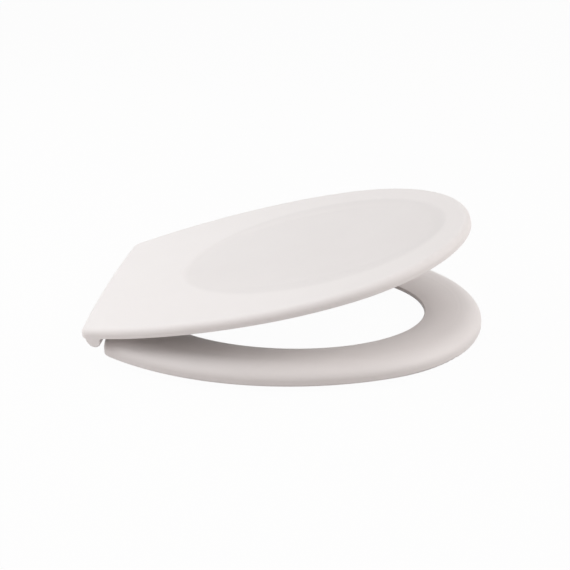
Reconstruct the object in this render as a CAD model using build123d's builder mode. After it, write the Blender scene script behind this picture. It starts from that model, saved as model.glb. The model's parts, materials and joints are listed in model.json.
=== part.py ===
"""Toilet seat: ring and lid on one hinge axis, standing on two bolted hinge brackets.

Frame: origin midway between the fixing bolts on the pan, X across, front at -Y, Z up, millimetres.
"""

import math
import os
from dataclasses import dataclass

from build123d import *

os.makedirs("parts", exist_ok=True)

# Hinge axis and fixing pattern
FIX_PITCH = 155.0
AXIS_Y = 27.5
AXIS_Z = 22.0
LID_REST = 13.6

# Shells
HALF_W = 185.0
PAN_GAP = 5.0
WALL = 4.5
SKIN = 4.6
BOSS_WALL = 1.5
OVERRUN = 60.0
PROUD = 1.0

# Rear bead of the lid, centred on the hinge axis, and the rounded ears that hide its ends
BEAD_R = 9.3
BEAD_PAST = 6.3
BEAD_WALL = 4.0
NECK_R = 3.0
EAR_R = 9.4
EAR_AT = 6.1
EAR_DROP = 1.1
EAR_GAP = 2.0
EAR_END_R = 1.2

# Ring: plan outline, rounded shoulder, and the lip round the hole that the top falls to
RING_TIP = 423.0
RING_WIDE_AT = 187.9
RING_NOSE_LESS = 15.0
RING_BACK_GAP = 2.0
RING_BACK_HALF = 127.0
RING_CORNER_R = 14.0
CORNER_LEAST = 2.0
RING_H = 20.9
RING_TOP = PAN_GAP + RING_H
CROWN_H = 14.0
CROWN_RUN = 22.0
CROWN_BACK_RUN = 7.0
CROWN_STEPS = 8
RING_FOOT_R = 2.5
HOLE_AT = 200.0
HOLE_HALF_L = 158.2
HOLE_HALF_W = 118.0
LIP_H = 12.9
LIP_TOP = PAN_GAP + LIP_H
LIP_EDGE_R = 1.6
LIP_EASE = 0.8
FALL_RUN = 41.0
FALL_PAST = 0.06
FALL_STEPS = 6

# Lid, drawn closed and then raised to its rest angle
LID_TIP = 418.4
LID_WIDE_AT = 203.2
LID_NOSE_LESS = 5.0
LID_BACK = 7.6
LID_BACK_OVER = 6.0
LID_BACK_HALF = RING_BACK_HALF + LID_BACK_OVER
LID_BACK_BOW = 4.7
LID_CORNER_R = 11.0
LID_GAP = 3.0
LID_H = 10.9
LID_FOOT = RING_TOP + LID_GAP
LID_TOP = LID_FOOT + LID_H
LID_EDGE_R = 7.2
DISH_AT = 237.7
DISH_HALF_L = 149.0
DISH_HALF_W = 117.5
DISH_PAD = 2.0
DISH_STEPS = ((-10.0, -1.8), (-5.5, -1.55), (-2.0, -1.05), (1.0, -0.5), (4.0, -0.1), (7.0, 0.2))
DISH_DEPTH = -DISH_STEPS[0][1]

# Stations along the hinge axis on one side, from the middle outwards
CLEAR = 0.6
EYE_L = 20.0
LUG_L = 12.0
CHEEK_L = 14.0
PIN_GRIP = 11.0
PIN_TAIL = 3.5
EYE_IN = FIX_PITCH / 2 - EYE_L / 2
EYE_OUT = EYE_IN + EYE_L
LUG_IN = EYE_OUT + CLEAR
LUG_OUT = LUG_IN + LUG_L
SLOT_IN = EYE_IN - CLEAR
SLOT_OUT = LUG_OUT + CLEAR
CHEEK_IN = SLOT_IN - CHEEK_L
PIN_OUT = SLOT_OUT + PIN_GRIP
PIN_IN = CHEEK_IN - PIN_TAIL
BEAD_OUT = PIN_OUT + BEAD_PAST
BEAD_ROOF = LID_FOOT + BEAD_WALL
EAR_IN = RING_BACK_HALF + EAR_GAP
EAR_FRONT = EAR_AT + EAR_R

# Knuckles
PIN_R = 3.0
PIN_PLAY = 0.1
BUSH_R = 4.6
KNUCKLE_R = 7.0
POCKET_R = 7.9
CLIP_R = 4.8
CLIP_T = 1.2
PIN_EASE = 0.5

# Hinge bracket
GASKET_T = 2.0
BASE_R = 13.0
BASE_T = 3.0
BASE_EASE = 1.0
BOSS_R = 9.0
BOSS_TOP = 16.0
PILLAR_HALF = 9.0
PILLAR_BACK = 14.5
TONGUE_LOW = -3.4
TONGUE_HIGH = 2.4
TONGUE_REACH = 17.0
NOTCH_REACH = 17.7
INSERT_R = 5.0
INSERT_L = 14.0
THREAD_R = 3.3

# Rubber buffers: the front pairs behind the tips, the rear pairs in from the widest line
PAD_X = 62.0
PAD_SET = 43.0
PAD_IN = 43.0
PAD_AT = 110.0
STOP_X = 70.0
STOP_SET = 36.4
STOP_IN = 45.0
STOP_AT = 80.0
RING_PADS = {"front": (PAD_X, RING_TIP - PAD_SET), "rear": (HALF_W - PAD_IN, PAD_AT)}
LID_PADS = {"front": (STOP_X, LID_TIP - STOP_SET), "rear": (HALF_W - STOP_IN, STOP_AT)}
PAD_R = 9.0
PAD_EASE = 1.5
PLUG_R = 3.5
PLUG_L = 9.0
STOP_R = 6.0
STOP_PLUG_R = 2.5
STOP_PLUG_L = 4.5
STOP_PLAY = 0.3
STOP_EASE = 0.8

SIDES = {"left": -1, "right": 1}
HINGE = Axis((0.0, AXIS_Y, AXIS_Z), (-1.0, 0.0, 0.0))


@dataclass
class Form:
    """Plan outline of a shell; lengths run forward from the hinge axis."""

    tip: float
    nose_r: float
    wide_at: float
    half_w: float
    back: float
    back_half: float
    bow: float
    corner_r: float


RING_FORM = Form(
    tip=RING_TIP,
    nose_r=HALF_W - RING_NOSE_LESS,
    wide_at=RING_WIDE_AT,
    half_w=HALF_W,
    back=BEAD_R + RING_BACK_GAP,
    back_half=RING_BACK_HALF,
    bow=0.0,
    corner_r=RING_CORNER_R,
)
LID_FORM = Form(
    tip=LID_TIP,
    nose_r=HALF_W - LID_NOSE_LESS,
    wide_at=LID_WIDE_AT,
    half_w=HALF_W,
    back=-LID_BACK,
    back_half=LID_BACK_HALF,
    bow=LID_BACK_BOW,
    corner_r=LID_CORNER_R,
)


def fore(reach):
    """Y of a point this far forward of the hinge axis."""
    return AXIS_Y - reach


def on_arc(centre, radius, start, end):
    """Middle point of the short arc between two points of a circle."""
    mx = (start[0] + end[0]) / 2 - centre[0]
    my = (start[1] + end[1]) / 2 - centre[1]
    scale = radius / math.hypot(mx, my)
    return (centre[0] + mx * scale, centre[1] + my * scale)


def outline(form, inset=0.0, back_inset=None):
    """Draws the outline in the open sketch: nose, flanks, rear sides and back, all tangent arcs but the corners."""
    if back_inset is None:
        back_inset = inset
    run = form.tip - form.wide_at
    flank_r = run**2 + form.half_w**2 - 2 * run * form.nose_r
    flank_r = flank_r / (2 * (form.half_w - form.nose_r))
    drop = form.half_w - form.back_half
    side_r = ((form.wide_at - form.back) ** 2 + drop**2) / (2 * drop)
    nose_c = (0.0, fore(form.tip - form.nose_r))
    flank_c = (form.half_w - flank_r, fore(form.wide_at))
    side_c = (form.half_w - side_r, fore(form.wide_at))
    span = math.hypot(nose_c[0] - flank_c[0], nose_c[1] - flank_c[1])
    unit = ((nose_c[0] - flank_c[0]) / span, (nose_c[1] - flank_c[1]) / span)
    tip = (0.0, fore(form.tip - inset))
    joint = (nose_c[0] + unit[0] * (form.nose_r - inset), nose_c[1] + unit[1] * (form.nose_r - inset))
    wide = (form.half_w - inset, fore(form.wide_at))
    rise = form.wide_at - form.back - back_inset
    corner = (side_c[0] + math.sqrt((side_r - inset) ** 2 - rise**2), fore(form.back + back_inset))
    flank_mid = on_arc(flank_c, flank_r - inset, joint, wide)
    side_mid = on_arc(side_c, side_r - inset, wide, corner)
    with BuildLine() as path:
        ThreePointArc((-joint[0], joint[1]), tip, joint)
        for s in SIDES.values():
            ThreePointArc((s * joint[0], joint[1]), (s * flank_mid[0], flank_mid[1]), (s * wide[0], wide[1]))
            ThreePointArc((s * wide[0], wide[1]), (s * side_mid[0], side_mid[1]), (s * corner[0], corner[1]))
        if form.bow > 0:
            ThreePointArc((-corner[0], corner[1]), (0.0, corner[1] + form.bow), corner)
        else:
            Line((-corner[0], corner[1]), corner)
    make_face(path.edges())
    fillet(vertices().group_by(Axis.Y)[-1], max(form.corner_r - inset, CORNER_LEAST))


def tube(x0, x1, radius, mode=Mode.ADD):
    """Cylinder on the hinge axis between two stations across the seat, in the open part."""
    with BuildSketch(Plane.YZ.offset(min(x0, x1))) as disc:
        with Locations((AXIS_Y, AXIS_Z)):
            Circle(radius)
    extrude(disc.sketch, amount=abs(x1 - x0), mode=mode)


def block(x0, x1, reach0, reach1, z0, z1, mode=Mode.ADD):
    """Box between two stations, two reaches forward of the axis and two heights, in the open part."""
    with BuildSketch(Plane.XY.offset(z0)) as plan:
        with Locations(((x0 + x1) / 2, fore((reach0 + reach1) / 2))):
            Rectangle(abs(x1 - x0), abs(reach1 - reach0))
    extrude(plan.sketch, amount=z1 - z0, mode=mode)


def post(x, reach, radius, z0, z1, mode=Mode.ADD):
    """Upright cylinder in the open part."""
    with BuildSketch(Plane.XY.offset(z0)) as disc:
        with Locations((x, fore(reach))):
            Circle(radius)
    extrude(disc.sketch, amount=z1 - z0, mode=mode)


def shell_solid(form, inset, z0, z1, top_r):
    """Extruded outline with rounded top edges, in the open part."""
    with BuildSketch(Plane.XY.offset(z0)) as plan:
        outline(form, inset)
    extrude(plan.sketch, amount=z1 - z0)
    fillet(edges().group_by(Axis.Z)[-1], top_r)


def crowned(form, inset, z0, top):
    """Outline raised to the spring line of its shoulder and lofted in over an elliptic crown, in the open part."""
    spring = top - CROWN_H
    with BuildSketch(Plane.XY.offset(z0)) as plan:
        outline(form, inset)
    extrude(plan.sketch, amount=spring - z0)
    levels = []
    for step in range(CROWN_STEPS + 1):
        turn = math.pi / 2 * step / CROWN_STEPS
        share = 1 - math.cos(turn)
        with BuildSketch(Plane.XY.offset(spring + CROWN_H * math.sin(turn))) as level:
            outline(form, inset + CROWN_RUN * share, inset + CROWN_BACK_RUN * share)
        levels.append(level.sketch)
    loft(levels)


def on_lip(edge):
    """Whether an edge is one of the two that run round the ring's hole."""
    size = edge.bounding_box().size
    return abs(size.X - 2 * HOLE_HALF_W) < CLEAR and abs(size.Y - 2 * HOLE_HALF_L) < CLEAR


def on_ear_end(edge):
    """Whether an edge runs round the outer end of an ear, not along it or across its inner end."""
    box = edge.bounding_box()
    return box.max.Z < LID_FOOT + CLEAR and box.size.Z > CLEAR and abs(edge.center().X) > EAR_IN + CLEAR


def on_neck(edge):
    """Whether an edge is a front one where the bead or an ear meets the lid's underside."""
    middle = edge.center()
    level = abs(middle.Z - LID_FOOT) < CLEAR
    return level and fore(middle.Y) > EAR_AT and edge.length > BEAD_WALL and edge.bounding_box().size.Y < CLEAR


# Bowl-shaped fall of the ring's top towards the hole, used for the top and again for the underside
with BuildPart() as ring_fall:
    for step in range(-1, FALL_STEPS + 1):
        out = FALL_RUN * step / FALL_STEPS
        level = 1 - (1 - out / FALL_RUN) ** 2
        level_z = LIP_TOP + (RING_TOP + FALL_PAST - LIP_TOP) * level
        with BuildSketch(Plane.XY.offset(level_z)):
            with Locations((0.0, fore(HOLE_AT))):
                Ellipse(HOLE_HALF_W + out, HOLE_HALF_L + out)
    loft()

with BuildPart() as ring_hollow:
    crowned(RING_FORM, WALL, 0.0, RING_TOP - SKIN)
    add(ring_fall.part.moved(Location((0.0, 0.0, -SKIN))), mode=Mode.SUBTRACT)

with BuildPart() as seat_ring:
    crowned(RING_FORM, 0.0, PAN_GAP, RING_TOP)
    fillet(edges().group_by(Axis.Z)[0], RING_FOOT_R)
    add(ring_fall.part, mode=Mode.SUBTRACT)
    add(ring_hollow.part, mode=Mode.SUBTRACT)
    with BuildSketch():
        with Locations((0.0, fore(HOLE_AT))):
            Ellipse(HOLE_HALF_W, HOLE_HALF_L)
    extrude(amount=RING_TOP, mode=Mode.SUBTRACT)
    fillet(edges().filter_by(on_lip).sort_by(Axis.Z)[-1], LIP_EDGE_R)
    chamfer(edges().filter_by(on_lip).sort_by(Axis.Z)[0], LIP_EASE)
    for s in SIDES.values():
        for x, reach in RING_PADS.values():
            post(s * x, reach, PAD_R + BOSS_WALL, PAN_GAP, RING_TOP - SKIN + PROUD)
            post(s * x, reach, PLUG_R, PAN_GAP, PAN_GAP + PLUG_L, Mode.SUBTRACT)
        block(s * SLOT_IN, s * (LUG_IN - CLEAR / 2), 0.0, NOTCH_REACH, 0.0, RING_TOP + PROUD, Mode.SUBTRACT)
        tube(s * LUG_IN, s * LUG_OUT, KNUCKLE_R)
        block(s * LUG_IN, s * LUG_OUT, 0.0, NOTCH_REACH, AXIS_Z - KNUCKLE_R, AXIS_Z + TONGUE_HIGH)
        tube(s * (LUG_IN - PROUD), s * (LUG_OUT + PROUD), BUSH_R, Mode.SUBTRACT)
seat_ring.part.label = "seat_ring"
export_step(seat_ring.part, "parts/seat_ring.step")

# Shallow dish in the lid's top, with a soft edge
with BuildPart() as dish:
    for out, lift in DISH_STEPS:
        with BuildSketch(Plane.XY.offset(LID_TOP + lift)):
            with Locations((0.0, fore(DISH_AT))):
                Ellipse(DISH_HALF_W + out, DISH_HALF_L + out)
    loft()

with BuildPart() as lid_hollow:
    shell_solid(LID_FORM, WALL, LID_FOOT - PROUD, LID_TOP - SKIN, LID_EDGE_R - WALL)
    block(-HALF_W, HALF_W, -OVERRUN, BEAD_R + NECK_R, 0.0, LID_TOP, Mode.SUBTRACT)
    for s in SIDES.values():
        block(s * EAR_IN, s * HALF_W, -OVERRUN, EAR_FRONT + NECK_R, 0.0, LID_TOP, Mode.SUBTRACT)

# Bead: the strip of the lid's plan over the axis, rounded underneath to a half cylinder
with BuildPart() as bead:
    with BuildSketch(Plane.XY.offset(AXIS_Z - OVERRUN)):
        outline(LID_FORM)
    extrude(amount=LID_FOOT - AXIS_Z + OVERRUN)
    with BuildSketch(Plane.YZ.offset(-BEAD_OUT)):
        with Locations((AXIS_Y, AXIS_Z)):
            Circle(BEAD_R)
            Rectangle(2 * BEAD_R, OVERRUN, align=(Align.CENTER, Align.MIN))
    extrude(amount=2 * BEAD_OUT, mode=Mode.INTERSECT)

# Ears: the two outer ends of the lid's plan, flush with its sides and rounded underneath
with BuildPart() as ears:
    with BuildSketch(Plane.XY.offset(AXIS_Z - OVERRUN)):
        outline(LID_FORM)
        with Locations((0.0, AXIS_Y)):
            Rectangle(2 * EAR_IN, 2 * OVERRUN, mode=Mode.SUBTRACT)
    extrude(amount=LID_FOOT - AXIS_Z + OVERRUN)
    with BuildSketch(Plane.YZ.offset(-HALF_W)):
        with Locations((fore(EAR_AT), LID_FOOT - EAR_DROP)):
            Circle(EAR_R)
    extrude(amount=2 * HALF_W, mode=Mode.INTERSECT)
    fillet(edges().filter_by(on_ear_end), EAR_END_R)

with BuildPart() as lid_closed:
    shell_solid(LID_FORM, 0.0, LID_FOOT, LID_TOP, LID_EDGE_R)
    add(bead.part)
    add(ears.part)
    fillet(edges().filter_by(on_neck), NECK_R)
    add(dish.part, mode=Mode.SUBTRACT)
    add(lid_hollow.part, mode=Mode.SUBTRACT)
    with BuildSketch(Plane.XY.offset(LID_TOP - SKIN - DISH_DEPTH)):
        with Locations((0.0, fore(DISH_AT))):
            Ellipse(DISH_HALF_W + DISH_PAD, DISH_HALF_L + DISH_PAD)
    extrude(amount=DISH_DEPTH + PROUD)
    block(-CHEEK_IN, CHEEK_IN, BEAD_WALL - BEAD_R, BEAD_R - BEAD_WALL, 0.0, BEAD_ROOF, Mode.SUBTRACT)
    for s in SIDES.values():
        block(s * SLOT_IN, s * SLOT_OUT, -OVERRUN, OVERRUN, 0.0, LID_FOOT, Mode.SUBTRACT)
        tube(s * SLOT_IN, s * SLOT_OUT, POCKET_R, Mode.SUBTRACT)
        tube(s * (CHEEK_IN - PROUD), s * PIN_OUT, PIN_R, Mode.SUBTRACT)
        for x, reach in LID_PADS.values():
            post(s * x, reach, STOP_R + BOSS_WALL, LID_FOOT, LID_TOP - SKIN + PROUD)
            post(s * x, reach, STOP_PLUG_R, LID_FOOT, LID_FOOT + STOP_PLUG_L, Mode.SUBTRACT)

with BuildPart() as lid:
    add(lid_closed.part.rotate(HINGE, LID_REST))
lid.part.label = "lid"
export_step(lid.part, "parts/lid.step")

for side, s in SIDES.items():
    fix_x = s * FIX_PITCH / 2

    with BuildPart() as hinge_bracket:
        post(fix_x, AXIS_Y, BASE_R, GASKET_T, GASKET_T + BASE_T)
        fillet(edges().group_by(Axis.Z)[-1], BASE_EASE)
        post(fix_x, AXIS_Y, BOSS_R, GASKET_T, BOSS_TOP)
        fillet(edges().group_by(Axis.Z)[-1], BASE_EASE)
        x0 = fix_x - PILLAR_HALF
        x1 = fix_x + PILLAR_HALF
        block(x0, x1, PILLAR_BACK, AXIS_Y, GASKET_T, BOSS_TOP)
        block(x0, x1, PILLAR_BACK, TONGUE_REACH, GASKET_T, AXIS_Z + TONGUE_HIGH)
        block(x0, x1, 0.0, TONGUE_REACH, AXIS_Z + TONGUE_LOW, AXIS_Z + TONGUE_HIGH)
        tube(s * EYE_IN, s * EYE_OUT, KNUCKLE_R)
        tube(s * EYE_IN, s * EYE_OUT, BUSH_R, Mode.SUBTRACT)
        post(fix_x, AXIS_Y, INSERT_R, GASKET_T, INSERT_L, Mode.SUBTRACT)
    hinge_bracket.part.label = f"hinge_bracket_{side}"
    export_step(hinge_bracket.part, f"parts/hinge_bracket_{side}.step")

    with BuildPart() as fixing_insert:
        post(fix_x, AXIS_Y, INSERT_R, 0.0, INSERT_L)
        post(fix_x, AXIS_Y, THREAD_R, 0.0, INSERT_L, Mode.SUBTRACT)
    fixing_insert.part.label = f"fixing_insert_{side}"
    export_step(fixing_insert.part, f"parts/fixing_insert_{side}.step")

    with BuildPart() as base_gasket:
        post(fix_x, AXIS_Y, BASE_R, 0.0, GASKET_T)
        post(fix_x, AXIS_Y, INSERT_R, 0.0, GASKET_T, Mode.SUBTRACT)
    base_gasket.part.label = f"base_gasket_{side}"
    export_step(base_gasket.part, f"parts/base_gasket_{side}.step")

    with BuildPart() as bracket_bush:
        tube(s * EYE_IN, s * EYE_OUT, BUSH_R)
        tube(s * EYE_IN, s * EYE_OUT, PIN_R + PIN_PLAY, Mode.SUBTRACT)
    bracket_bush.part.label = f"bracket_bush_{side}"
    export_step(bracket_bush.part, f"parts/bracket_bush_{side}.step")

    with BuildPart() as ring_bush:
        tube(s * LUG_IN, s * LUG_OUT, BUSH_R)
        tube(s * LUG_IN, s * LUG_OUT, PIN_R + PIN_PLAY, Mode.SUBTRACT)
    ring_bush.part.label = f"ring_bush_{side}"
    export_step(ring_bush.part, f"parts/ring_bush_{side}.step")

    with BuildPart() as hinge_pin:
        tube(s * PIN_IN, s * PIN_OUT, PIN_R)
        chamfer(edges(), PIN_EASE)
    hinge_pin.part.label = f"hinge_pin_{side}"
    export_step(hinge_pin.part, f"parts/hinge_pin_{side}.step")

    with BuildPart() as pin_clip:
        tube(s * (CHEEK_IN - CLIP_T), s * CHEEK_IN, CLIP_R)
        tube(s * (CHEEK_IN - CLIP_T), s * CHEEK_IN, PIN_R, Mode.SUBTRACT)
    pin_clip.part.label = f"pin_clip_{side}"
    export_step(pin_clip.part, f"parts/pin_clip_{side}.step")

    for place, (x, reach) in RING_PADS.items():
        with BuildPart() as ring_buffer:
            with BuildSketch():
                with Locations((s * x, fore(reach))):
                    Circle(PAD_R)
            extrude(amount=PAN_GAP)
            fillet(edges().group_by(Axis.Z)[0], PAD_EASE)
            post(s * x, reach, PLUG_R, PAN_GAP, PAN_GAP + PLUG_L)
        ring_buffer.part.label = f"ring_buffer_{place}_{side}"
        export_step(ring_buffer.part, f"parts/ring_buffer_{place}_{side}.step")

    for place, (x, reach) in LID_PADS.items():
        with BuildPart() as stop_closed:
            post(s * x, reach, STOP_R, RING_TOP + STOP_PLAY, LID_FOOT)
            fillet(edges().group_by(Axis.Z)[0], STOP_EASE)
            post(s * x, reach, STOP_PLUG_R, LID_FOOT, LID_FOOT + STOP_PLUG_L)
        with BuildPart() as lid_buffer:
            add(stop_closed.part.rotate(HINGE, LID_REST))
        lid_buffer.part.label = f"lid_buffer_{place}_{side}"
        export_step(lid_buffer.part, f"parts/lid_buffer_{place}_{side}.step")
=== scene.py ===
"""Looks of the toilet seat: finishes, fine pieces, stage, light and camera."""

from __future__ import annotations

import json
import logging
import math
from dataclasses import dataclass
from enum import Enum

import bpy
import numpy as np
from mathutils import Matrix, Vector


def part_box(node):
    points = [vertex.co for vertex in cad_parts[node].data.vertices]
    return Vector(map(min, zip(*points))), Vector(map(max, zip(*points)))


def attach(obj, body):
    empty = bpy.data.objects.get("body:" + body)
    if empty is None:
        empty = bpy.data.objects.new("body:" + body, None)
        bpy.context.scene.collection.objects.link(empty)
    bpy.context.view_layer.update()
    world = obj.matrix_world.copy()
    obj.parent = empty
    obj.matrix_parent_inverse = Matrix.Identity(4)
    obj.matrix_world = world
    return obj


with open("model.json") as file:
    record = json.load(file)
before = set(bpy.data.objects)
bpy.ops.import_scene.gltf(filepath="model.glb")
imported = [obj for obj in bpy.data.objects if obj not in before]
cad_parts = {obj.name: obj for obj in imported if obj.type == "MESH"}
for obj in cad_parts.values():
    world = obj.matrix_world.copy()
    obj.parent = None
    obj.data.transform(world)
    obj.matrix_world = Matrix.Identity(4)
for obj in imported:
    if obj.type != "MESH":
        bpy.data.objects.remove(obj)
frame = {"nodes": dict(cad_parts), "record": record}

LOG = logging.getLogger("toilet_seat")
Socket = bpy.types.NodeSocket
Colour = tuple[float, float, float]
Point = tuple[float, float, float]
Span = tuple[float, float]

PHOTO_SIDE_PX = 570
SENSOR_MM = 36.0
SIDES = ("left", "right")
LID_NODE = "lid"
UNIT: Span = (0.0, 1.0)
WHITE: Colour = (1.0, 1.0, 1.0)

# Sockets of a Mix node that mixes colours
MIX_LOW = 6
MIX_HIGH = 7
MIX_RESULT = 2


class Slot(Enum):
    """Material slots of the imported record."""

    SHELL = "shell"
    BRACKET = "bracket"
    PIN = "pin"
    INSERT = "insert"
    GASKET = "gasket"
    BUSH = "bush"
    BUFFER = "buffer"


class Body(Enum):
    """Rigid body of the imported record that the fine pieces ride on."""

    HINGES = "hinges"


@dataclass(frozen=True)
class Octaves:
    """Detail and roughness of a noise."""

    detail: float
    rough: float


def rgba(colour: Colour) -> tuple[float, float, float, float]:
    """A colour with full alpha."""
    return (*colour, 1.0)


class Graph:
    """A shader node tree with short calls for nodes and links."""

    def __init__(self, tree: bpy.types.NodeTree) -> None:
        """Wraps an emptied node tree.

        Args:
            tree: the tree of a material, a world or a node group.
        """
        self.tree = tree
        tree.nodes.clear()

    def node(self, kind: str, **settings: object) -> bpy.types.Node:
        """Adds a node.

        Args:
            kind: the node's type name.
            settings: attributes set on it, such as operation or data_type.

        Returns:
            The new node.
        """
        made = self.tree.nodes.new(kind)
        for name, value in settings.items():
            setattr(made, name, value)
        return made

    def join(self, source: Socket, target: Socket) -> None:
        """Links one socket to another."""
        self.tree.links.new(source, target)

    def feed(self, target: Socket, value: object) -> None:
        """Gives an input its value.

        Args:
            target: the input.
            value: a socket to link, or a plain value to set.
        """
        if isinstance(value, Socket):
            self.join(value, target)
        else:
            target.default_value = value

    def math(self, operation: str, *values: object) -> Socket:
        """Adds a Math node.

        Args:
            operation: the node's operation.
            values: sockets, or numbers for the inputs that stay plain.

        Returns:
            The node's output.
        """
        made = self.node("ShaderNodeMath", operation=operation)
        for target, value in zip(made.inputs, values):
            self.feed(target, value)
        return made.outputs[0]

    def remap(self, value: Socket, given: Span, result: Span = UNIT) -> Socket:
        """Maps one range to another and clamps it.

        Args:
            value: the socket to map.
            given: start and end of its range.
            result: what they become.

        Returns:
            The mapped value.
        """
        made = self.node("ShaderNodeMapRange", clamp=True)
        self.join(value, made.inputs["Value"])
        for name, number in zip(("From Min", "From Max", "To Min", "To Max"), (*given, *result)):
            made.inputs[name].default_value = number
        return made.outputs["Result"]

    def noise(self, coordinates: Socket, scale: object, octaves: Octaves) -> Socket:
        """Adds a Noise texture.

        Args:
            coordinates: vector to read it at.
            scale: a number, or a socket.
            octaves: its detail and roughness.

        Returns:
            The noise value from 0 to 1.
        """
        made = self.node("ShaderNodeTexNoise")
        self.join(coordinates, made.inputs["Vector"])
        self.feed(made.inputs["Scale"], scale)
        made.inputs["Detail"].default_value = octaves.detail
        made.inputs["Roughness"].default_value = octaves.rough
        return made.outputs["Fac"]

    def mix_shaders(self, share: Socket, low: Socket, high: Socket) -> Socket:
        """Mixes two shaders.

        Args:
            share: value from 0 to 1.
            low: shader at 0.
            high: shader at 1.

        Returns:
            The mixed shader.
        """
        made = self.node("ShaderNodeMixShader")
        for target, source in zip(made.inputs, (share, low, high)):
            self.join(source, target)
        return made.outputs[0]


def new_group(
    name: str, inputs: tuple[str, ...], outputs: tuple[str, ...]
) -> tuple[Graph, bpy.types.Node, bpy.types.Node]:
    """Starts a shader node group with a Vector input and further plain inputs and outputs.

    Args:
        name: the group's name.
        inputs: names of the float inputs, which each material sets.
        outputs: names of the float outputs.

    Returns:
        The group's graph, its input node and its output node.
    """
    tree = bpy.data.node_groups.new(name, "ShaderNodeTree")
    tree.interface.new_socket("Vector", in_out="INPUT", socket_type="NodeSocketVector")
    for label in inputs:
        tree.interface.new_socket(label, in_out="INPUT", socket_type="NodeSocketFloat")
    for label in outputs:
        tree.interface.new_socket(label, in_out="OUTPUT", socket_type="NodeSocketFloat")
    graph = Graph(tree)
    return graph, graph.node("NodeGroupInput"), graph.node("NodeGroupOutput")


@dataclass(frozen=True)
class MouldedSkin:
    """Moulded plastic: broad flow clouds in tone and gloss, and a low orange-peel height."""

    cloud: Octaves = Octaves(3.0, 0.5)
    speck: Octaves = Octaves(2.0, 0.6)
    peel: Octaves = Octaves(1.5, 0.45)
    speck_finer: float = 37.0
    cloud_share: float = 0.75
    tone_span: Span = (0.32, 0.68)
    gloss_span: Span = (0.7, 1.3)

    def build(self) -> bpy.types.NodeTree:
        """Makes the group.

        Returns:
            Group with Tone and Gloss from 0 to 1 and Height.
        """
        inputs, outputs = ("Cloud Scale", "Peel Scale"), ("Tone", "Gloss", "Height")
        graph, given, result = new_group("moulded_skin", inputs, outputs)
        at = given.outputs["Vector"]
        cloud = graph.noise(at, given.outputs["Cloud Scale"], self.cloud)
        speck_scale = graph.math("MULTIPLY", given.outputs["Cloud Scale"], self.speck_finer)
        speck = graph.noise(at, speck_scale, self.speck)
        peel = graph.noise(at, given.outputs["Peel Scale"], self.peel)
        clouded = graph.math("MULTIPLY", cloud, self.cloud_share)
        specked = graph.math("MULTIPLY", speck, 1.0 - self.cloud_share)
        tone = graph.math("ADD", clouded, specked)
        graph.join(graph.remap(tone, self.tone_span), result.inputs["Tone"])
        gloss = graph.math("ADD", cloud, peel)
        graph.join(graph.remap(gloss, self.gloss_span), result.inputs["Gloss"])
        graph.join(peel, result.inputs["Height"])
        return graph.tree


@dataclass(frozen=True)
class BrushedLines:
    """Brushed metal: noise drawn out along X, so lines run across the seat."""

    stretch: Point = (0.04, 1.0, 1.0)
    lines: Octaves = Octaves(3.0, 0.65)
    streak_span: Span = (0.3, 0.7)

    def build(self) -> bpy.types.NodeTree:
        """Makes the group.

        Returns:
            Group with Streak from 0 to 1 and Height.
        """
        graph, given, result = new_group("brushed_lines", ("Line Scale",), ("Streak", "Height"))
        stretch = graph.node("ShaderNodeMapping")
        stretch.inputs["Scale"].default_value = self.stretch
        graph.join(given.outputs["Vector"], stretch.inputs["Vector"])
        lines = graph.noise(stretch.outputs["Vector"], given.outputs["Line Scale"], self.lines)
        graph.join(graph.remap(lines, self.streak_span), result.inputs["Streak"])
        graph.join(lines, result.inputs["Height"])
        return graph.tree


@dataclass(frozen=True)
class FineGrain:
    """Fine even grain of rubber and matt mouldings."""

    fine: Octaves = Octaves(2.0, 0.7)
    broad: Octaves = Octaves(3.0, 0.6)
    broad_coarser: float = 0.06
    tone_span: Span = (0.75, 1.25)

    def build(self) -> bpy.types.NodeTree:
        """Makes the group.

        Returns:
            Group with Tone from 0 to 1 and Height.
        """
        graph, given, result = new_group("fine_grain", ("Grain Scale",), ("Tone", "Height"))
        at = given.outputs["Vector"]
        fine = graph.noise(at, given.outputs["Grain Scale"], self.fine)
        broad_scale = graph.math("MULTIPLY", given.outputs["Grain Scale"], self.broad_coarser)
        broad = graph.noise(at, broad_scale, self.broad)
        tone = graph.math("ADD", fine, broad)
        graph.join(graph.remap(tone, self.tone_span), result.inputs["Tone"])
        graph.join(fine, result.inputs["Height"])
        return graph.tree


@dataclass
class Effects:
    """Node groups that the finishes share."""

    moulded: bpy.types.NodeTree
    brushed: bpy.types.NodeTree
    grain: bpy.types.NodeTree

    @classmethod
    def build(cls) -> Effects:
        """Makes the groups once.

        Returns:
            The set of groups.
        """
        return cls(MouldedSkin().build(), BrushedLines().build(), FineGrain().build())


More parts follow.
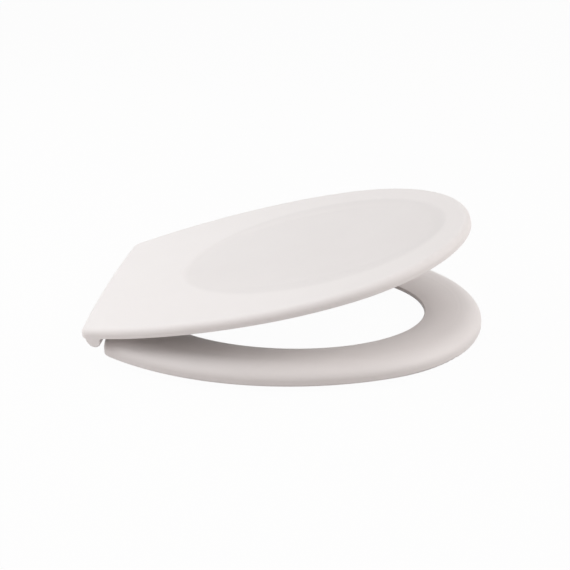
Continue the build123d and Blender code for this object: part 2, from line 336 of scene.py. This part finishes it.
class Finish:
    """A material under construction: Principled shader, Object coordinates and a graph."""

    def __init__(self, name: str) -> None:
        """Makes the material with its shader and output.

        Args:
            name: the material's name.
        """
        self.material = bpy.data.materials.new(name)
        self.material.use_nodes = True
        self.graph = Graph(self.material.node_tree)
        self.shader = self.graph.node("ShaderNodeBsdfPrincipled")
        output = self.graph.node("ShaderNodeOutputMaterial")
        self.graph.join(self.shader.outputs["BSDF"], output.inputs["Surface"])
        self.at = self.graph.node("ShaderNodeTexCoord").outputs["Object"]

    def effect(self, tree: bpy.types.NodeTree, **values: float) -> bpy.types.Node:
        """Places a node group.

        Args:
            tree: the group.
            values: its float inputs, with underscores for spaces.

        Returns:
            The group node.
        """
        made = self.graph.node("ShaderNodeGroup", node_tree=tree)
        self.graph.join(self.at, made.inputs["Vector"])
        for name, value in values.items():
            made.inputs[name.replace("_", " ").title()].default_value = value
        return made

    def blend(self, mask: Socket, low: Colour | Socket, high: Colour | Socket) -> Socket:
        """Mixes two colours by a mask.

        Args:
            mask: value from 0 to 1.
            low: colour at 0, plain or from a socket.
            high: colour at 1, plain or from a socket.

        Returns:
            The colour.
        """
        mix = self.graph.node("ShaderNodeMix", data_type="RGBA")
        self.graph.join(mask, mix.inputs["Factor"])
        for index, colour in ((MIX_LOW, low), (MIX_HIGH, high)):
            self.graph.feed(mix.inputs[index], colour if isinstance(colour, Socket) else rgba(colour))
        return mix.outputs[MIX_RESULT]

    def paint(self, colour: Socket, rough: Socket) -> None:
        """Feeds Base Color and Roughness."""
        self.graph.join(colour, self.shader.inputs["Base Color"])
        self.graph.join(rough, self.shader.inputs["Roughness"])

    def bump(self, height: Socket, depth_m: float, strength: float) -> None:
        """Feeds Normal from a height.

        Args:
            height: the height value.
            depth_m: metres for a height of 1.
            strength: share of the effect.
        """
        made = self.graph.node("ShaderNodeBump")
        made.inputs["Strength"].default_value = strength
        made.inputs["Distance"].default_value = depth_m
        self.graph.join(height, made.inputs["Height"])
        self.graph.join(made.outputs["Normal"], self.shader.inputs["Normal"])

    def shine(self, specular: float) -> None:
        """Sets the level of the plain reflection."""
        self.shader.inputs["Specular IOR Level"].default_value = specular


@dataclass(frozen=True)
class MouldedWhite:
    """Warm white moulded plastic with a soft gloss."""

    pale: Colour = (0.862, 0.834, 0.824)
    deep: Colour = (0.838, 0.808, 0.798)
    gloss: float = 0.43
    dull: float = 0.53
    specular: float = 0.3
    cloud_scale: float = 9.0
    peel_scale: float = 520.0
    peel_depth_m: float = 0.00002
    bump_strength: float = 0.5

    def skin(self, finish: Finish, effects: Effects) -> bpy.types.Node:
        """Places the moulded skin in a material."""
        return finish.effect(effects.moulded, cloud_scale=self.cloud_scale, peel_scale=self.peel_scale)

    def build(self, name: str, effects: Effects) -> bpy.types.Material:
        """Makes the material.

        Args:
            name: the material's name.
            effects: shared node groups.

        Returns:
            The material.
        """
        finish = Finish(name)
        skin = self.skin(finish, effects)
        rough = finish.graph.remap(skin.outputs["Gloss"], UNIT, (self.gloss, self.dull))
        finish.paint(finish.blend(skin.outputs["Tone"], self.deep, self.pale), rough)
        finish.bump(skin.outputs["Height"], self.peel_depth_m, self.bump_strength)
        finish.shine(self.specular)
        return finish.material


@dataclass(frozen=True)
class DishedWhite(MouldedWhite):
    """The moulded white of the lid, with a fine matt grain on an oval field of its top, whose darker
    colour is a painted shade of the dish.

    The field covers the moulded dish and reaches past its edge at the left and right.
    """

    # Painted shade: darker whites of the field that stand in for the dish's shade; the field's roughness
    # and grain are real
    field_painted_shade_pale: Colour = (0.828, 0.801, 0.792)
    field_painted_shade_deep: Colour = (0.804, 0.776, 0.767)
    field_rough: float = 0.62
    grain_scale: float = 2600.0
    grain_depth_m: float = 0.00003
    hinge_m: Point = (0.0, 0.0275, 0.022)
    rest_deg: float = 13.6
    field_at_m: Point = (0.0, -0.2403, 0.0178)
    half_w_m: float = 0.1330
    half_l_m: float = 0.1506
    soft_m: float = 0.0035
    skin_m: float = 0.0050
    skin_soft_m: float = 0.0005

    def matt_and_painted_shade_mask(self, finish: Finish) -> Socket:
        """Mask of the field: an ellipse in the closed lid's plan, on the top skin only.

        Object coordinates are turned back about the hinge axis by the rest angle and counted from
        the field's middle. The reach is the root of the summed squares of X by the half width and
        Y by the half length, and the mask falls from 1 to 0 around a reach of 1.

        Args:
            finish: the material to work in.

        Returns:
            1 inside the field, where the matt grain and the painted shade lie, 0 outside.
        """
        graph = finish.graph
        rest = math.radians(self.rest_deg)
        turn = Matrix.Rotation(rest, 3, "X")
        mapping = graph.node("ShaderNodeMapping")
        mapping.inputs["Location"].default_value = -(turn @ Vector(self.hinge_m)) - Vector(self.field_at_m)
        mapping.inputs["Rotation"].default_value = (rest, 0.0, 0.0)
        graph.join(finish.at, mapping.inputs["Vector"])
        split = graph.node("ShaderNodeSeparateXYZ")
        graph.join(mapping.outputs["Vector"], split.inputs[0])
        across = graph.math("POWER", graph.math("DIVIDE", split.outputs["X"], self.half_w_m), 2.0)
        along = graph.math("POWER", graph.math("DIVIDE", split.outputs["Y"], self.half_l_m), 2.0)
        reach = graph.math("SQRT", graph.math("ADD", across, along))
        soft = self.soft_m / self.half_w_m
        inside = graph.remap(reach, (1.0 + soft, 1.0 - soft))
        skin_span = (-self.skin_m - self.skin_soft_m, -self.skin_m + self.skin_soft_m)
        return graph.math("MULTIPLY", inside, graph.remap(split.outputs["Z"], skin_span))

    def build(self, name: str, effects: Effects) -> bpy.types.Material:
        """Makes the material.

        Args:
            name: the material's name.
            effects: shared node groups.

        Returns:
            The material.
        """
        finish = Finish(name)
        graph = finish.graph
        skin = self.skin(finish, effects)
        grain = finish.effect(effects.grain, grain_scale=self.grain_scale)
        mask = self.matt_and_painted_shade_mask(finish)
        smooth = finish.blend(skin.outputs["Tone"], self.deep, self.pale)
        # Painted shade: the field's colour is a darker white that stands in for the shade in the dish
        matt = finish.blend(skin.outputs["Tone"], self.field_painted_shade_deep, self.field_painted_shade_pale)
        glossy = graph.remap(skin.outputs["Gloss"], UNIT, (self.gloss, self.dull))
        change = graph.math("MULTIPLY", graph.math("SUBTRACT", self.field_rough, glossy), mask)
        finish.paint(finish.blend(mask, smooth, matt), graph.math("ADD", glossy, change))
        grained = graph.math("MULTIPLY", grain.outputs["Height"], mask)
        lift = graph.math("MULTIPLY", grained, self.grain_depth_m / self.peel_depth_m)
        height = graph.math("ADD", skin.outputs["Height"], lift)
        finish.bump(height, self.peel_depth_m, self.bump_strength)
        finish.shine(self.specular)
        return finish.material


@dataclass(frozen=True)
class BrushedMetal:
    """Metal with drawn-out lines in tone and gloss."""

    pale: Colour
    deep: Colour
    gloss: float = 0.22
    dull: float = 0.42
    line_scale: float = 900.0
    line_depth_m: float = 0.00003
    bump_strength: float = 0.6

    def build(self, name: str, effects: Effects) -> bpy.types.Material:
        """Makes the material.

        Args:
            name: the material's name.
            effects: shared node groups.

        Returns:
            The material.
        """
        finish = Finish(name)
        lines = finish.effect(effects.brushed, line_scale=self.line_scale)
        rough = finish.graph.remap(lines.outputs["Streak"], UNIT, (self.dull, self.gloss))
        finish.paint(finish.blend(lines.outputs["Streak"], self.deep, self.pale), rough)
        finish.bump(lines.outputs["Height"], self.line_depth_m, self.bump_strength)
        finish.shader.inputs["Metallic"].default_value = 1.0
        return finish.material


@dataclass(frozen=True)
class GrainedMatt:
    """Rubber or matt plastic with a fine grain."""

    pale: Colour
    deep: Colour
    gloss: float = 0.6
    dull: float = 0.8
    specular: float = 0.35
    grain_scale: float = 1400.0
    grain_depth_m: float = 0.00006
    bump_strength: float = 0.6

    def build(self, name: str, effects: Effects) -> bpy.types.Material:
        """Makes the material.

        Args:
            name: the material's name.
            effects: shared node groups.

        Returns:
            The material.
        """
        finish = Finish(name)
        grain = finish.effect(effects.grain, grain_scale=self.grain_scale)
        rough = finish.graph.remap(grain.outputs["Tone"], UNIT, (self.dull, self.gloss))
        finish.paint(finish.blend(grain.outputs["Tone"], self.deep, self.pale), rough)
        finish.bump(grain.outputs["Height"], self.grain_depth_m, self.bump_strength)
        finish.shine(self.specular)
        return finish.material


@dataclass
class Palette:
    """All finishes, by material slot, and the lid's own."""

    materials: dict[Slot, bpy.types.Material]
    lid: bpy.types.Material

    @classmethod
    def build(cls, effects: Effects) -> Palette:
        """Makes every material.

        Args:
            effects: shared node groups.

        Returns:
            The palette.
        """
        steel = BrushedMetal(pale=(0.74, 0.74, 0.73), deep=(0.56, 0.56, 0.56))
        ground = BrushedMetal(
            pale=(0.68, 0.68, 0.69), deep=(0.55, 0.55, 0.56), gloss=0.14, dull=0.28, line_scale=1800.0
        )
        brass = BrushedMetal(
            pale=(0.80, 0.62, 0.33), deep=(0.62, 0.45, 0.21), gloss=0.2, dull=0.36, line_scale=1300.0
        )
        gasket = GrainedMatt(pale=(0.045, 0.045, 0.046), deep=(0.028, 0.028, 0.029))
        bush = GrainedMatt(pale=(0.76, 0.75, 0.72), deep=(0.68, 0.67, 0.64), gloss=0.42, dull=0.56)
        buffer = GrainedMatt(pale=(0.74, 0.73, 0.71), deep=(0.66, 0.65, 0.63))
        materials = {
            Slot.SHELL: MouldedWhite().build("white_moulded", effects),
            Slot.BRACKET: steel.build("bracket_steel", effects),
            Slot.PIN: ground.build("ground_steel", effects),
            Slot.INSERT: brass.build("turned_brass", effects),
            Slot.GASKET: gasket.build("gasket_rubber", effects),
            Slot.BUSH: bush.build("bush_plastic", effects),
            Slot.BUFFER: buffer.build("buffer_rubber", effects),
        }
        return cls(materials, DishedWhite().build("white_lid", effects))

    def dress(self) -> None:
        """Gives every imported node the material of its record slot, and the lid its own."""
        slots = {row["node"]: Slot(row["material_slot"]) for row in frame["record"]["subparts"]}
        for name, node in frame["nodes"].items():
            node.data.materials.clear()
            finish = self.lid if name == LID_NODE else self.materials[slots[name]]
            node.data.materials.append(finish)
            LOG.info("dressed %s in %s", name, finish.name)


def grid_mesh(name: str, points: np.ndarray) -> bpy.types.Object:
    """Makes a mesh object from a grid of points, row by row.

    Args:
        name: the object's name.
        points: array of shape (rows, columns, 3), in metres.

    Returns:
        The linked object, smooth shaded.
    """
    rows, columns = points.shape[:2]
    index = np.arange(rows * columns).reshape(rows, columns)
    loops = [index[:-1, :-1], index[:-1, 1:], index[1:, 1:], index[1:, :-1]]
    faces = np.stack(loops, axis=-1).reshape(-1, len(loops))
    mesh = bpy.data.meshes.new(name)
    mesh.from_pydata(points.reshape(-1, 3).tolist(), [], faces.tolist())
    mesh.polygons.foreach_set("use_smooth", np.ones(len(mesh.polygons), dtype=bool))
    mesh.update()
    made = bpy.data.objects.new(name, mesh)
    bpy.context.scene.collection.objects.link(made)
    return made


@dataclass
class FixingThread:
    """Thread inside a fixing insert: a ridge carried along a helix on the bore's wall.

    The ridge's section is a low trapezium: its four points lie at shares of the pitch, the outer two
    sunk a little into the wall and the inner two at the crest.
    """

    side: str
    crest_m: float = 0.00022
    root_m: float = 0.00002
    pitch_m: float = 0.00125
    section_at: tuple[float, ...] = (0.02, 0.42, 0.58, 0.98)
    wall_m: float = 0.0033
    end_gap_m: float = 0.0006
    steps_per_turn: int = 48

    def build(self) -> bpy.types.Object:
        """Builds the ridge.

        A point of the section at angle t lies at the wall's radius less its depth, and at the start's
        height plus the pitch times t / 2 pi and its share.

        Returns:
            The thread piece.
        """
        low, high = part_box(f"fixing_insert_{self.side}")
        centre_x, centre_y = (low.x + high.x) / 2, (low.y + high.y) / 2
        start = low.z + self.end_gap_m
        turns = (high.z - low.z - 2 * self.end_gap_m - self.pitch_m) / self.pitch_m
        t = np.linspace(0.0, 2 * math.pi * turns, int(self.steps_per_turn * turns))[:, None]
        across = np.array(self.section_at)[None, :]
        depth = np.array([-self.root_m, self.crest_m, self.crest_m, -self.root_m])[None, :]
        radius = self.wall_m - depth
        height = start + self.pitch_m * (t / (2 * math.pi) + across)
        x, y = centre_x + radius * np.cos(t), centre_y + radius * np.sin(t)
        return grid_mesh(f"fixing_thread_{self.side}", np.stack([x, y, height], axis=-1))

    def place(self, palette: Palette) -> None:
        """Builds, dresses and seats the thread.

        Args:
            palette: the finishes.
        """
        piece = self.build()
        piece.data.materials.append(palette.materials[Slot.INSERT])
        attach(piece, Body.HINGES.value)
        LOG.info("built %s", piece.name)


def add_aimed(data: bpy.types.ID, place_m: Point, target_m: Point) -> bpy.types.Object:
    """Links a camera or a lamp that looks at a target.

    Args:
        data: its camera or light data, which also names it.
        place_m: where it stands.
        target_m: where its -Z axis points.

    Returns:
        The linked object.
    """
    made = bpy.data.objects.new(data.name, data)
    made.location = place_m
    aim = Vector(target_m) - Vector(place_m)
    made.rotation_euler = aim.to_track_quat("-Z", "Y").to_euler()
    bpy.context.scene.collection.objects.link(made)
    return made


@dataclass
class Camera:
    """Camera at the photograph's viewpoint, from a fit to the seat's outline."""

    place_m: Point = (-1.2550, -0.2952, 0.5565)
    target_m: Point = (0.0, -0.1719, 0.0397)
    focal_px: float = 1177.6
    centre_px: tuple[float, float] = (287.4, 287.8)
    clip_m: Span = (0.01, 60.0)

    def build(self) -> None:
        """Makes the camera and sets it as the scene's own."""
        data = bpy.data.cameras.new("photo_camera")
        data.sensor_fit = "HORIZONTAL"
        data.sensor_width = SENSOR_MM
        data.lens = SENSOR_MM * self.focal_px / PHOTO_SIDE_PX
        middle = PHOTO_SIDE_PX / 2
        data.shift_x = (middle - self.centre_px[0]) / PHOTO_SIDE_PX
        data.shift_y = (self.centre_px[1] - middle) / PHOTO_SIDE_PX
        data.clip_start, data.clip_end = self.clip_m
        bpy.context.scene.camera = add_aimed(data, self.place_m, self.target_m)


@dataclass(frozen=True)
class Lamp:
    """A soft rectangular lamp aimed at the seat."""

    name: str
    place_m: Point
    size_m: tuple[float, float]
    watts: float
    tint: Colour = WHITE
    target_m: Point = (0.0, -0.17, 0.03)

    def build(self) -> None:
        """Makes the lamp."""
        data = bpy.data.lights.new(self.name, "AREA")
        data.shape = "RECTANGLE"
        data.size, data.size_y = self.size_m
        data.energy = self.watts
        data.color = self.tint
        add_aimed(data, self.place_m, self.target_m)


@dataclass
class Studio:
    """Pale floor, white surroundings and soft lamps."""

    floor_half_m: float = 14.0
    floor_drop_m: float = 0.0002
    floor_points: int = 3
    floor_paper: Colour = (0.6, 0.57, 0.56)
    floor_white_share: float = 0.97
    ambient: float = 0.18
    ambient_tint: Colour = (1.0, 0.96, 0.945)
    lamps: tuple[Lamp, ...] = (
        Lamp("rear_far_lamp", (0.65, 0.59, 1.06), (1.3, 1.3), 4.4, (0.94, 0.98, 1.0)),
        Lamp("rear_lamp", (0.0, 1.17, 0.87), (1.43, 1.04), 7.2),
        Lamp("rear_near_lamp", (-0.65, 0.78, 1.0), (1.3, 1.3), 7.0),
        Lamp("front_lamp", (-0.2, -2.2, 1.25), (2.2, 0.8), 23.2, (1.0, 0.968, 0.95)),
        Lamp("front_high_lamp", (-0.2, -1.6, 1.8), (2.0, 1.6), 13.6, (1.0, 0.965, 0.955)),
        Lamp("near_low_lamp", (-1.7, 1.0, 0.4), (2.0, 0.7), 3.8, (1.0, 0.86, 0.84)),
    )

    def seen(self, graph: Graph) -> Socket:
        """Whether a ray shows the surroundings.

        Args:
            graph: the tree to work in.

        Returns:
            1 on camera, glossy and transmission rays, else 0.
        """
        path = graph.node("ShaderNodeLightPath")
        mirror = graph.math("MAXIMUM", path.outputs["Is Glossy Ray"], path.outputs["Is Transmission Ray"])
        return graph.math("MAXIMUM", path.outputs["Is Camera Ray"], mirror)

    def world(self) -> None:
        """White to look at, and a plain ambient level to be lit by."""
        world = bpy.data.worlds.new("studio_world")
        bpy.context.scene.world = world
        world.use_nodes = True
        graph = Graph(world.node_tree)
        lit = graph.node("ShaderNodeBackground")
        lit.inputs["Color"].default_value = rgba(self.ambient_tint)
        lit.inputs["Strength"].default_value = self.ambient
        white = graph.node("ShaderNodeBackground")
        white.inputs["Color"].default_value = rgba(WHITE)
        white.inputs["Strength"].default_value = 1.0
        both = graph.mix_shaders(self.seen(graph), lit.outputs[0], white.outputs[0])
        graph.join(both, graph.node("ShaderNodeOutputWorld").inputs["Surface"])

    def floor(self) -> None:
        """A flat pale floor that shows mostly white and keeps a faint shadow."""
        line = np.linspace(-self.floor_half_m, self.floor_half_m, self.floor_points)
        x, y = np.meshgrid(line, line)
        z = np.full_like(x, -self.floor_drop_m)
        floor = grid_mesh("studio_floor", np.stack([x, y, z], axis=-1))
        material = bpy.data.materials.new("floor_paper")
        material.use_nodes = True
        graph = Graph(material.node_tree)
        paper = graph.node("ShaderNodeBsdfDiffuse")
        paper.inputs["Color"].default_value = rgba(self.floor_paper)
        white = graph.node("ShaderNodeEmission")
        share = graph.math("MULTIPLY", self.seen(graph), self.floor_white_share)
        both = graph.mix_shaders(share, paper.outputs[0], white.outputs[0])
        graph.join(both, graph.node("ShaderNodeOutputMaterial").inputs["Surface"])
        floor.data.materials.append(material)

    def build(self) -> None:
        """Makes the stage and sets the plain view transform."""
        self.world()
        self.floor()
        for lamp in self.lamps:
            lamp.build()
        bpy.context.scene.view_settings.view_transform = "Standard"


def main() -> None:
    """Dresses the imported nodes, adds the fine pieces, stage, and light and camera."""
    logging.basicConfig(level=logging.INFO)
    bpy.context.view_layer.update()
    palette = Palette.build(Effects.build())
    palette.dress()
    for side in SIDES:
        FixingThread(side).place(palette)
    Studio().build()
    Camera().build()


if __name__ == "__main__":
    main()
